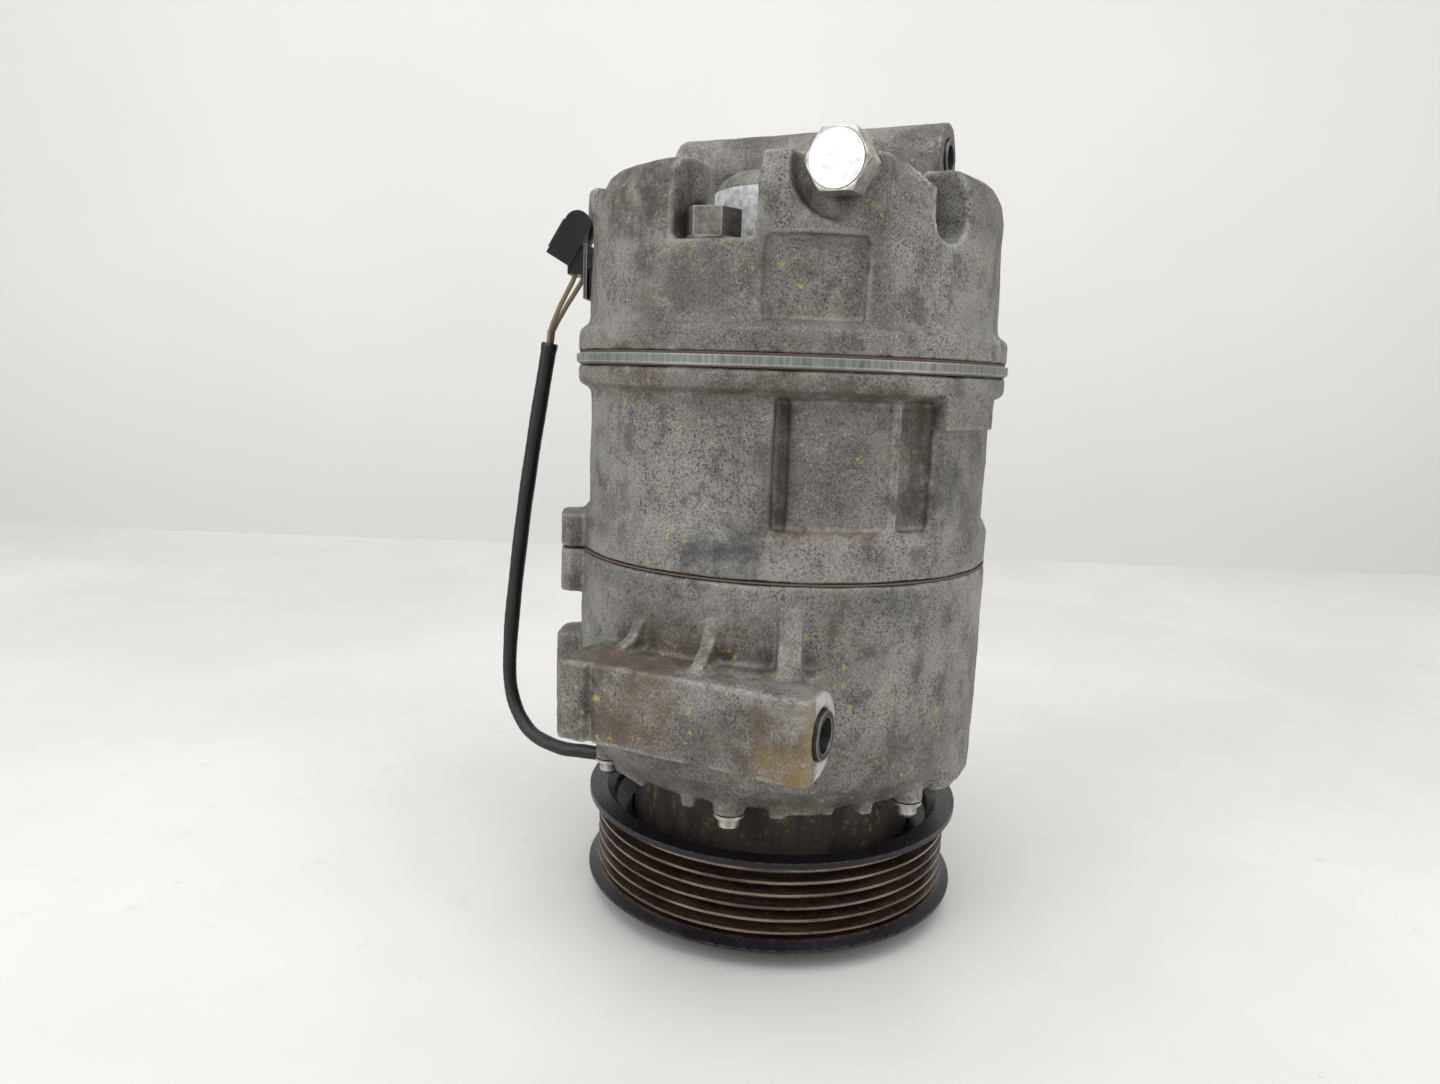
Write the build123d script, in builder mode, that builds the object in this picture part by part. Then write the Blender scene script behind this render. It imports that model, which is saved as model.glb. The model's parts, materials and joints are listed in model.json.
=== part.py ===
"""Swash-plate compressor with its electromagnetic clutch, standing on the clutch face.

Frame: +Z runs up the shaft from the clutch to the rear head, the origin is on the
shaft line in the front face of the clutch hub, and -Y is the side with the front lug.
All sizes are in millimetres.
"""
import os
from math import atan2, cos, degrees, hypot, pi, radians, sin

from build123d import *

# ---- overall heights up the shaft line --------------------------------------------
nose_front = 11.5
coil_plate_bottom = 38.5
coil_plate_top = 41.0
housing_bottom = 44.0
wall_inner = 60.0
parting = 105.8
block_top = 157.9
block_gasket_top = 158.3
suction_reed_top = 158.6
valve_plate_top = 160.9
head_gasket_top = 161.6
head_rim_top = 168.0
pocket_floor = 188.5
shoulder_top = 209.5

# ---- body radii ---------------------------------------------------------------------
housing_radius = 59.6
crank_radius = 45.5
block_rim_radius = 59.5
block_wall_radius = 57.8
block_upper_rim_radius = 61.4
valve_plate_radius = 62.1
head_rim_radius = 61.5
head_wall_radius = 58.4
dome_radius = 23.4

# ---- pulley and rotor ---------------------------------------------------------------
flange_radius = 56.3
crest_radius = 53.4
groove_root_radius = 50.6
groove_pitch = 3.56
groove_count = 6
pulley_bottom = 5.0
pulley_top = 31.2
groove_middle = 17.1
rotor_face = 8.4
rotor_web_top = 13.0
rotor_hub_outer = 29.6
bearing_outer_radius = 25.0
bearing_inner_radius = 15.0

# ---- bolts ---------------------------------------------------------------------------
case_bolt_circle = 49.6
case_bolt_angles = [-2.6, 57.4, 117.4, 237.4, 297.4]
deep_bolt_angle = 57.4
deep_bolt_seat = 180.0
slot_angle = 63.5
slot_half = 5.9
relief_block_radius = 59.3
front_bolt_circle = 51.0
front_bolt_angles = [9.5, 69.5, 129.5, 189.5, 249.5, 309.5]
case_bolt_radius = 3.4
case_bolt_hole = 3.7
case_bolt_flats = 12.4
case_bolt_end = 86.0

# ---- front lug and rear lug ------------------------------------------------------------
lug_left = -29.8
lug_right = 39.0
lug_front = -76.5
lug_bottom = 63.5
lug_top = 84.5
lug_bore_y = -67.0
lug_bore_z = 74.0
lug_bore_radius = 6.0
bush_bore_radius = 4.3
rear_lug_left = -63.0
rear_lug_right = 30.3
rear_lug_y = 52.5
rear_lug_z = 226.6
rear_lug_radius = 10.8
far_lug_y = 66.0
far_lug_left = -30.0
far_lug_right = 30.0

# ---- relief valve and connector -----------------------------------------------------------
relief_x = 32.0
relief_z = 204.8
relief_seat_y = -49.0
connector_angle = -68.0

# ---- pistons, swash plate and shaft -----------------------------------------------------------
piston_count = 7
piston_circle = 31.0
bore_radius = 11.5
piston_radius = 11.47
piston_bottom = 112.0
piston_top = 150.0
swash_middle = 92.0
swash_half = 3.5
swash_radius = 40.0
shoe_sphere = 8.5
shaft_radius = 8.0
shaft_end_radius = 5.9

os.makedirs("parts", exist_ok=True)


def spot(angle, radius, height=0.0):
    """Place on the body: angle 0 is the front, the local -Y axis points outward."""
    a = radians(angle)
    return Location((radius * sin(a), -radius * cos(a), height), (0, 0, angle))


def save(builder, name):
    builder.part.label = name
    export_step(builder.part, f"parts/{name}.step")
    print(name, round(builder.part.volume / 1000, 2), "cm3")


def turned(points):
    """Solid turned about the shaft line from radius and height pairs."""
    with BuildPart(mode=Mode.PRIVATE) as body:
        with BuildSketch(Plane.XZ):
            with BuildLine():
                Polyline(*points, close=True)
            make_face()
        revolve(axis=Axis.Z)
    return body.part


def ring(outer, inner, low, high):
    return turned([(inner, low), (outer, low), (outer, high), (inner, high)])


# ================================= clutch ==================================================
def make_pulley():
    profile = [
        (23.0, rotor_face), (48.8, rotor_face), (48.8, pulley_bottom), (55.2, pulley_bottom),
        (flange_radius, pulley_bottom + 0.9), (flange_radius, 6.6),
        (crest_radius - 0.4, 8.1),
    ]
    low = groove_middle - groove_pitch * groove_count / 2
    flat = 0.35
    for number in range(groove_count):
        start = low + number * groove_pitch
        profile += [
            (crest_radius - 0.4 if number == 0 else crest_radius, start + flat),
            (groove_root_radius, start + groove_pitch / 2 - 0.3),
            (groove_root_radius, start + groove_pitch / 2 + 0.3),
            (crest_radius, start + groove_pitch - flat),
        ]
    profile += [
        (crest_radius, 28.0), (flange_radius, 29.6), (flange_radius, pulley_top),
        (51.0, pulley_top), (48.6, 28.6), (48.0, 26.0), (43.3, 24.0), (43.3, rotor_web_top),
        (rotor_hub_outer, rotor_web_top), (rotor_hub_outer, 37.4), (26.0, 37.4),
        (bearing_outer_radius, 37.0), (bearing_outer_radius, 36.8), (26.2, 36.8), (26.2, 35.6),
        (bearing_outer_radius, 35.6), (bearing_outer_radius, 13.5), (23.0, 13.5),
    ]
    with BuildPart() as pulley_rotor:
        add(turned(profile))
        for radius, count, start in ((35.0, 6, 0), (41.0, 6, 30)):
            with BuildSketch(Plane.XY.offset(rotor_face)):
                with PolarLocations(0, count, start):
                    SlotArc(CenterArc((0, 0), radius, -20, 40), 2.2)
            extrude(amount=rotor_web_top - rotor_face, mode=Mode.SUBTRACT)
        # balance drilling in the upper face of the rim
        with Locations(spot(140, 53.4, pulley_top)):
            Hole(1.2, 2.0)
    save(pulley_rotor, "pulley_rotor")


def make_bearing():
    rows = (19.2, 29.8)
    with BuildPart() as outer:
        add(ring(bearing_outer_radius, 22.2, 13.5, 35.5))
        for height in rows:
            with Locations(Pos(0, 0, height)):
                Torus(20.0, 3.52, mode=Mode.SUBTRACT)
    with BuildPart() as inner:
        add(ring(17.8, bearing_inner_radius, 13.5, 35.5))
        for height in rows:
            with Locations(Pos(0, 0, height)):
                Torus(20.0, 3.52, mode=Mode.SUBTRACT)
    with BuildPart() as balls:
        for height in rows:
            with Locations(Pos(0, 0, height)):
                with PolarLocations(20.0, 14):
                    Sphere(3.5)
    with BuildPart() as cages:
        add(ring(21.2, 18.9, 19.2, 24.0))
        add(ring(21.2, 18.9, 25.0, 29.8))
        for height in rows:
            with Locations(Pos(0, 0, height)):
                with PolarLocations(20.0, 14):
                    Sphere(3.6, mode=Mode.SUBTRACT)
    with BuildPart() as shields:
        add(ring(22.2, 18.1, 14.1, 14.8))
        add(ring(22.2, 18.1, 34.2, 34.9))
    save(outer, "bearing_outer_ring")
    save(inner, "bearing_inner_ring")
    save(balls, "bearing_balls")
    save(cages, "bearing_cages")
    save(shields, "bearing_shields")


def snap_ring(name, outer, inner, low, high, gap_angle, gap, ears_inside):
    """Flat retaining ring with a gap and two eyelet ears."""
    with BuildPart() as clip:
        add(ring(outer, inner, low, high))
        with Locations(spot(gap_angle, (outer + inner) / 2, (low + high) / 2)):
            Box(gap, (outer - inner) * 3, (high - low) * 2, mode=Mode.SUBTRACT)
        side = inner + 0.1 if ears_inside else outer + 0.4
        turn = 180 / pi * (gap / 2 + 1.6) / side
        for sign in (-1, 1):
            with Locations(spot(gap_angle + sign * turn, side, low)):
                Cylinder(1.5, high - low, align=(Align.CENTER, Align.CENTER, Align.MIN))
                Cylinder(0.6, (high - low) * 3, mode=Mode.SUBTRACT)
    save(clip, name)


def make_coil():
    with BuildPart() as cup:
        add(turned([
            (16.55, coil_plate_bottom), (30.4, coil_plate_bottom), (30.4, 15.0), (32.4, 15.0),
            (32.4, 38.4), (40.5, 38.4), (40.5, 15.0), (42.5, 15.0), (42.5, 40.0),
            (41.5, coil_plate_top), (16.55, coil_plate_top),
        ]))
        # window in the back plate that lets the lead leave the winding
        with Locations(spot(-57, 41.0, 39.7)):
            Box(5.0, 9.0, 1.9, mode=Mode.SUBTRACT)
    with BuildPart() as winding:
        add(ring(39.3, 33.4, 17.5, 36.0))
    with BuildPart() as potting:
        add(ring(40.5, 32.4, 15.8, 38.4))
        add(ring(39.3, 33.4, 17.5, 36.0), mode=Mode.SUBTRACT)
    with BuildPart() as boot:
        with Locations(spot(-57, 43.8, 40.2)):
            Box(7.0, 4.8, 6.0)
        fillet(boot.edges().filter_by(Axis.Z), 1.0)
        with Locations(spot(-57, 43.8, 40.2) * Rot(90, 0, 0)):
            Cylinder(1.8, 20, mode=Mode.SUBTRACT)
        add(ring(42.6, 0, 30, 50), mode=Mode.SUBTRACT)
    save(cup, "coil_housing")
    save(winding, "coil_winding")
    save(potting, "coil_potting")
    save(boot, "coil_lead_boot")


def make_armature():
    with BuildPart() as armature_plate:
        add(turned([(30.0, 3.2), (47.6, 3.2), (48.2, 3.8), (48.2, 7.9), (30.0, 7.9)]))
        for angle in (60, 180, 300):
            with Locations(spot(angle, 39.0, 3.2)):
                Cylinder(2.0, 20, mode=Mode.SUBTRACT)
        with BuildSketch(Plane.XY.offset(3.2)):
            with PolarLocations(0, 3, 30):
                SlotArc(CenterArc((0, 0), 38.0, -22, 44), 2.4)
        extrude(amount=4.7, mode=Mode.SUBTRACT)
    with BuildPart() as armature_rivets:
        for angle in (60, 180, 300):
            with Locations(spot(angle, 39.0, 1.3)):
                Cylinder(3.4, 1.2, align=(Align.CENTER, Align.CENTER, Align.MIN))
                Cylinder(2.0, 6.2, align=(Align.CENTER, Align.CENTER, Align.MIN))
    save(armature_plate, "armature_plate")
    save(armature_rivets, "armature_rivets")


def corner(angle, radius):
    return (radius * sin(radians(angle)), -radius * cos(radians(angle)))


def make_hub():
    with BuildPart() as clutch_hub:
        with BuildSketch():
            with BuildLine():
                Polyline(*[corner(a, 26.0) for a in (0, 120, 240)], close=True)
            make_face()
            offset(amount=7.0, kind=Kind.ARC)
        extrude(amount=2.5)
        chamfer(clutch_hub.faces().sort_by(Axis.Z)[0].edges(), 0.4)
        with BuildSketch(Plane.XY.offset(2.5)):
            Circle(12.5)
        extrude(amount=6.0)
        with BuildSketch(Plane.XY.offset(8.5)):
            Circle(10.5)
        extrude(amount=11.5)
        with Locations(Pos(0, 0, 0)):
            Cylinder(8.2, 5.4, align=(Align.CENTER, Align.CENTER, Align.MIN), mode=Mode.SUBTRACT)
            Cylinder(3.2, 60, mode=Mode.SUBTRACT)
        with Locations(Pos(0, 0, 8.0)):
            Cylinder(shaft_end_radius + 0.02, 20, align=(Align.CENTER, Align.CENTER, Align.MIN),
                     mode=Mode.SUBTRACT)
        # three puller threads and three rivet holes
        for angle in (60, 180, 300):
            with Locations(spot(angle, 15.8, 1.25)):
                Cylinder(2.1, 6, mode=Mode.SUBTRACT)
        for angle in (0, 120, 240):
            with Locations(spot(angle, 25.6, 1.25)):
                Cylinder(2.0, 6, mode=Mode.SUBTRACT)
                Cylinder(3.6, 2.4, align=(Align.CENTER, Align.CENTER, Align.MAX), mode=Mode.SUBTRACT)
    save(clutch_hub, "clutch_hub")

    with BuildPart() as leaf_springs:
        for angle in (0, 120, 240):
            inner_end = corner(angle, 25.6)
            outer_end = corner(angle + 60, 39.0)
            across = outer_end[0] - inner_end[0]
            along = outer_end[1] - inner_end[1]
            middle = (inner_end[0] + across / 2, inner_end[1] + along / 2)
            with BuildSketch(Plane.XY.offset(2.5)):
                with Locations(Location(middle, degrees(atan2(along, across)))):
                    SlotCenterToCenter(hypot(across, along), 8.4)
                with Locations(inner_end, outer_end):
                    Circle(2.0, mode=Mode.SUBTRACT)
            extrude(amount=0.7)
    save(leaf_springs, "leaf_springs")

    with BuildPart() as hub_rivets:
        for angle in (0, 120, 240):
            with Locations(spot(angle, 25.6, 0.3)):
                Cylinder(3.4, 0.9, align=(Align.CENTER, Align.CENTER, Align.MIN))
                Cylinder(2.0, 2.9, align=(Align.CENTER, Align.CENTER, Align.MIN))
            with Locations(spot(angle, 25.6, 3.2)):
                Cylinder(3.2, 1.0, align=(Align.CENTER, Align.CENTER, Align.MIN))
    save(hub_rivets, "hub_rivets")

    with BuildPart() as hub_bolt:
        with BuildSketch(Plane.XY.offset(0.6)):
            RegularPolygon(5.0, 6, major_radius=False)
        extrude(amount=4.0)
        with Locations(Pos(0, 0, 4.6)):
            Cylinder(7.2, 0.8, align=(Align.CENTER, Align.CENTER, Align.MIN))
        with Locations(Pos(0, 0, 5.4)):
            Cylinder(3.0, 20.0, align=(Align.CENTER, Align.CENTER, Align.MIN))
    save(hub_bolt, "hub_bolt")

    with BuildPart() as hub_shims:
        add(ring(9.0, shaft_end_radius + 0.1, 20.0, 20.5))
    save(hub_shims, "hub_shims")


# ============================ front housing ================================================
def make_front_housing():
    outline = [
        (11.5, nose_front), (14.4, nose_front), (15.0, 12.0), (14.0, 12.0), (14.0, 13.4),
        (15.0, 13.4), (15.0, 35.5), (16.5, 35.5), (16.5, 36.8), (15.6, 36.8), (15.6, 38.4),
        (16.5, 38.4), (16.5, coil_plate_top), (27.0, coil_plate_top), (29.0, housing_bottom),
        (51.6, housing_bottom), (53.0, 45.2), (55.0, 47.5), (58.6, 52.0), (59.2, 56.0),
        (housing_radius, 70.0), (housing_radius, parting - 0.5), (housing_radius - 0.2, parting - 0.2),
        (crank_radius, parting - 0.2), (crank_radius, wall_inner + 3), (crank_radius - 3, wall_inner),
        (13.0, wall_inner), (13.0, 45.6), (11.5, 45.6), (11.5, 24.2), (12.4, 24.2), (12.4, 23.0),
        (11.5, 23.0),
    ]
    with BuildPart() as front_housing:
        add(turned(outline))
        # thicker pad on the right side that keeps the full radius down to the lower edge
        with BuildSketch(Plane.XY.offset(45.2)):
            SlotArc(CenterArc((0, 0), 56.4, -14, 26), 5.6)
        extrude(amount=17)
        # ear at the parting plane and ear behind the lug, both on the left
        with Locations(spot(-57.5, 59.0, (92.8 + parting) / 2)):
            Box(17.0, 13.4, parting - 93.2)
        with Locations(spot(-68.0, 60.0, 66.0)):
            Box(15.0, 14.6, 23.0)
        chamfer(front_housing.edges().filter_by(Axis.Z).filter_by(
            lambda e: abs(hypot(e.center().X, e.center().Y) - 66.2) < 2.6), 2.2)

        # front mounting lug
        with BuildSketch(Plane.XY.offset(lug_bottom)):
            with BuildLine():
                Polyline((lug_left, lug_front + 1.5), (lug_left + 1.5, lug_front),
                         (lug_right - 1.2, lug_front), (lug_right, lug_front + 1.2),
                         (lug_right, -57.0), (31.0, -48.0), (-24.0, -50.0),
                         (lug_left, -57.0), close=True)
            make_face()
        extrude(amount=lug_top - lug_bottom)
        # groove near the left end, and the face between the end blocks set back a little
        with Locations((-19.8, lug_front, lug_bottom + 10.5)):
            Box(1.8, 3.6, 22, mode=Mode.SUBTRACT)
        with Locations((3.2, lug_front, lug_bottom + 10.5)):
            Box(45.0, 1.4, 22, mode=Mode.SUBTRACT)
        # the right end is a round boss round the bore
        with BuildSketch(Plane.YZ.offset(33.5)):
            with BuildLine():
                Polyline((lug_bore_y, 60.0), (-50.4, 60.0), (-50.4, 88.0), (lug_bore_y, 88.0),
                         close=True)
            make_face()
            with Locations((lug_bore_y, lug_bore_z)):
                Circle(10.4, mode=Mode.SUBTRACT)
        extrude(amount=20.0, mode=Mode.SUBTRACT)
        # parting flash line along the lug face
        with Locations((0.0, lug_front + 0.8, 75.2)):
            Box(52.0, 0.5, 0.5)
        # three ribs that carry the lug
        for angle, top, thick in ((-15.5, 93.0, 3.4), (5.5, 95.0, 3.6), (24.5, 99.0, 6.0)):
            reach = 13.5 if angle < 20 else 11.5
            outward = Vector(sin(radians(angle)), -cos(radians(angle)), 0)
            across = Vector(cos(radians(angle)), sin(radians(angle)), 0)
            with BuildSketch(Plane(origin=outward * 50.0, x_dir=outward * -1, z_dir=across)):
                with BuildLine():
                    Polyline((4.0, lug_top - 4), (-9.0 - reach, lug_top - 4), (-8.0 - reach, lug_top),
                             (-12.5, top - 4.5), (-10.4, top), (4.0, top + 1.5), close=True)
                make_face()
            extrude(amount=thick / 2, both=True)

        # bosses round the lower edge for the front bolts, with small cast stops between them
        for angle in front_bolt_angles:
            with Locations(spot(angle, front_bolt_circle, 41.8)):
                Cylinder(4.2, 12, align=(Align.CENTER, Align.CENTER, Align.MIN))
        for angle in (-29.0, 32.0, 92.0, 152.0, 212.0, 272.0):
            with Locations(spot(angle, 50.6, 42.4)):
                Box(15.0, 3.6, 5.0, align=(Align.CENTER, Align.CENTER, Align.MIN))
        for angle in (-3.0, 23.7, 50.6, 83.0, 117.0, 177.0, 237.0, 297.0):
            with Locations(spot(angle, 51.6, 41.6)):
                Box(4.0, 3.6, 7.0, align=(Align.CENTER, Align.CENTER, Align.MIN))
        # stiffening ribs round the far wall
        for angle in (120.0, 150.0, 210.0, 240.0):
            with Locations(spot(angle, 58.6, 80.0)):
                Box(3.2, 5.0, 44.0)
        # mould line down the front right of the wall
        with Locations(spot(35.0, housing_radius, 82)):
            Box(0.7, 0.5, 44.0)

        # rear mounting lug on the far side, out of the front view
        with BuildSketch(Plane.YZ.offset(far_lug_left)):
            with Locations((far_lug_y, 74.0)):
                Circle(10.5)
            with BuildLine():
                Polyline((far_lug_y, 63.5), (far_lug_y, 84.5), (52.0, 88.0), (52.0, 60.0), close=True)
            make_face()
        extrude(amount=far_lug_right - far_lug_left)

        # openings
        add(turned([(0, parting + 1), (crank_radius, parting + 1), (crank_radius, wall_inner + 3),
                    (crank_radius - 3, wall_inner), (0, wall_inner)]), mode=Mode.SUBTRACT)
        add(ring(42.7, 30.0, 30, coil_plate_top), mode=Mode.SUBTRACT)
        for angle in case_bolt_angles:
            with Locations(spot(angle, case_bolt_circle, case_bolt_end - 3)):
                Cylinder(case_bolt_radius, 60, align=(Align.CENTER, Align.CENTER, Align.MIN),
                         mode=Mode.SUBTRACT)
        for angle in front_bolt_angles:
            with Locations(spot(angle, front_bolt_circle, 36)):
                Cylinder(2.95, 22.4, align=(Align.CENTER, Align.CENTER, Align.MIN),
                         mode=Mode.SUBTRACT)
        for y in (lug_bore_y, far_lug_y):
            with Locations(Location((0, y, lug_bore_z), (0, 90, 0))):
                Cylinder(lug_bore_radius, 140, mode=Mode.SUBTRACT)
    save(front_housing, "front_housing")


def make_front_hardware():
    with BuildPart() as front_bolts:
        for angle in front_bolt_angles:
            with Locations(spot(angle, front_bolt_circle, 38.4)):
                Cylinder(2.95, 20, align=(Align.CENTER, Align.CENTER, Align.MIN))
            with Locations(spot(angle, front_bolt_circle, 37.4)):
                Cone(2.2, 2.95, 1.0, align=(Align.CENTER, Align.CENTER, Align.MIN))
            with Locations(spot(angle, front_bolt_circle, 41.0)):
                Cylinder(4.1, 0.8, align=(Align.CENTER, Align.CENTER, Align.MIN))
    save(front_bolts, "front_bolts")

    with BuildPart() as lug_bushes:
        for y in (lug_bore_y, far_lug_y):
            right = lug_right if y < 0 else far_lug_right
            left = lug_left if y < 0 else far_lug_left
            for low, high in ((right - 18.0, right + 0.9), (left - 0.6, left + 15.0)):
                with Locations(Location((low, y, lug_bore_z), (0, 90, 0))):
                    Cylinder(lug_bore_radius, high - low,
                             align=(Align.CENTER, Align.CENTER, Align.MIN))
                    Cylinder(bush_bore_radius, high - low,
                             align=(Align.CENTER, Align.CENTER, Align.MIN), mode=Mode.SUBTRACT)
    save(lug_bushes, "lug_bushes")

    with BuildPart() as rear_lug_bushes:
        for low, high in ((rear_lug_right - 16.0, rear_lug_right + 0.8),
                          (rear_lug_left - 0.6, rear_lug_left + 15.0)):
            with Locations(Location((low, rear_lug_y, rear_lug_z), (0, 90, 0))):
                Cylinder(lug_bore_radius, high - low, align=(Align.CENTER, Align.CENTER, Align.MIN))
                Cylinder(bush_bore_radius, high - low,
                         align=(Align.CENTER, Align.CENTER, Align.MIN), mode=Mode.SUBTRACT)
    save(rear_lug_bushes, "rear_lug_bushes")


# ============================== cylinder block ==============================================
def make_block():
    outline = [
        (0, 120.0), (crank_radius - 2, 120.0), (crank_radius, 118.0), (crank_radius, parting + 0.2),
        (block_rim_radius - 0.2, parting + 0.2), (block_rim_radius, parting + 0.5),
        (block_rim_radius, 115.4), (block_rim_radius - 0.6, 117.0), (block_wall_radius, 117.6),
        (block_wall_radius, 151.2), (59.4, 152.2), (60.9, 152.8), (block_upper_rim_radius, 153.6),
        (block_upper_rim_radius, block_top), (0, block_top),
    ]
    with BuildPart() as cylinder_block:
        add(turned(outline))
        with Locations(spot(-57.5, 59.0, (115.8 + parting) / 2)):
            Box(17.0, 13.4, 115.4 - parting)
        chamfer(cylinder_block.edges().filter_by(Axis.Z).filter_by(
            lambda e: hypot(e.center().X, e.center().Y) > 65.0), 2.2)
        # small lug under the upper rim, right of the front
        with Locations(spot(74.0, 57.4, 148.6)):
            Box(24.0, 5.6, 9.0)
        # recesses cast between the cylinders
        for start in (0, 120, 240):
            for low, high, depth in ((18.6, 22.4, 54.0), (22.4, 48.8, 55.9), (51.0, 62.0, 54.9)):
                if start == 0 or high - low > 5:
                    with BuildSketch(Plane.XY.offset(118.4)):
                        with BuildLine():
                            Polyline((0, 0), corner(start + low, 80), corner(start + high, 80),
                                     close=True)
                        make_face()
                        Circle(depth, mode=Mode.SUBTRACT)
                    extrude(amount=151.0 - 118.4, mode=Mode.SUBTRACT)
        # slim raised band at the left of the recess
        with Locations(spot(14.6, 56.6, 134.8)):
            Box(7.6, 5.0, 33.4)
        # shallow vertical steps on the left half
        for angle in (-26.0, -4.4, -44.0):
            with Locations(spot(angle, block_wall_radius, 134.8)):
                Box(1.0, 0.7, 34.4, mode=Mode.SUBTRACT)
        with Locations(spot(-43.0, block_upper_rim_radius + 0.3, 156.0)):
            Cylinder(1.6, 1.6, rotation=(90, 0, 0), mode=Mode.SUBTRACT)

        # cylinders, shaft bore and bolt holes
        with Locations(Pos(0, 0, 100)):
            with PolarLocations(piston_circle, piston_count, -90):
                Cylinder(bore_radius, 80, align=(Align.CENTER, Align.CENTER, Align.MIN),
                         mode=Mode.SUBTRACT)
        with Locations(Pos(0, 0, 110)):
            Cylinder(13.0, 28, align=(Align.CENTER, Align.CENTER, Align.MIN), mode=Mode.SUBTRACT)
            Cylinder(9.5, 38, align=(Align.CENTER, Align.CENTER, Align.MIN), mode=Mode.SUBTRACT)
        for angle in case_bolt_angles:
            with Locations(spot(angle, case_bolt_circle, 100)):
                Cylinder(case_bolt_hole, 80, align=(Align.CENTER, Align.CENTER, Align.MIN),
                         mode=Mode.SUBTRACT)
    save(cylinder_block, "cylinder_block")

    with BuildPart() as case_gasket:
        add(ring(59.5, crank_radius + 1.2, parting - 0.2, parting + 0.2))
        for angle in case_bolt_angles:
            with Locations(spot(angle, case_bolt_circle, 100)):
                Cylinder(case_bolt_hole, 80, mode=Mode.SUBTRACT)
    save(case_gasket, "case_gasket")


def plate(outer, low, high, port_radius, port_circle, name, extra_ports=()):
    with BuildPart() as disc:
        add(turned([(0, low), (outer, low), (outer, high), (0, high)]))
        with Locations(Pos(0, 0, (low + high) / 2)):
            if port_radius:
                with PolarLocations(port_circle, piston_count, -90):
                    Cylinder(port_radius, 10, mode=Mode.SUBTRACT)
            for radius, circle, offset_angle in extra_ports:
                with PolarLocations(circle, piston_count, -90 + offset_angle):
                    Cylinder(radius, 10, mode=Mode.SUBTRACT)
        for angle in case_bolt_angles:
            with Locations(spot(angle, case_bolt_circle, (low + high) / 2)):
                Cylinder(case_bolt_hole, 10, mode=Mode.SUBTRACT)
    save(disc, name)


def make_plates():
    plate(61.2, block_top, block_gasket_top, bore_radius, piston_circle, "block_gasket")
    plate(61.6, block_gasket_top, suction_reed_top, 1.8, 25.5, "suction_reed_plate",
          ((0.9, 37.0, 14.0), (0.9, 37.0, -14.0)))
    plate(valve_plate_radius, suction_reed_top, valve_plate_top, 2.4, 37.5, "valve_plate",
          ((1.9, 25.5, 0.0),))
    with BuildPart() as head_gasket:
        add(ring(61.2, 46.0, valve_plate_top, head_gasket_top))
        add(ring(33.0, 30.5, valve_plate_top, head_gasket_top))
        for angle in case_bolt_angles:
            with Locations(spot(angle, case_bolt_circle, 161)):
                Cylinder(case_bolt_hole, 10, mode=Mode.SUBTRACT)
    save(head_gasket, "head_gasket")
    for name, low, high, width in (("discharge_reeds", valve_plate_top, 161.2, 6.0),
                                   ("reed_retainer", 161.2, 162.2, 7.2)):
        with BuildPart() as star:
            with BuildSketch(Plane.XY.offset(low)):
                Circle(14.0)
                with PolarLocations(20.0, piston_count, -90):
                    SlotCenterToCenter(12.0, width)
                Circle(3.0, mode=Mode.SUBTRACT)
            extrude(amount=high - low)
        save(star, name)
    with BuildPart() as retainer_rivet:
        with Locations(Pos(0, 0, 162.2)):
            Cylinder(5.0, 1.4, align=(Align.CENTER, Align.CENTER, Align.MIN))
        with Locations(Pos(0, 0, valve_plate_top)):
            Cylinder(3.0, 1.4, align=(Align.CENTER, Align.CENTER, Align.MIN))
    save(retainer_rivet, "retainer_rivet")


# ================================ rear head ==================================================
def bolt_seat(angle):
    return deep_bolt_seat if angle == deep_bolt_angle else pocket_floor


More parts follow.
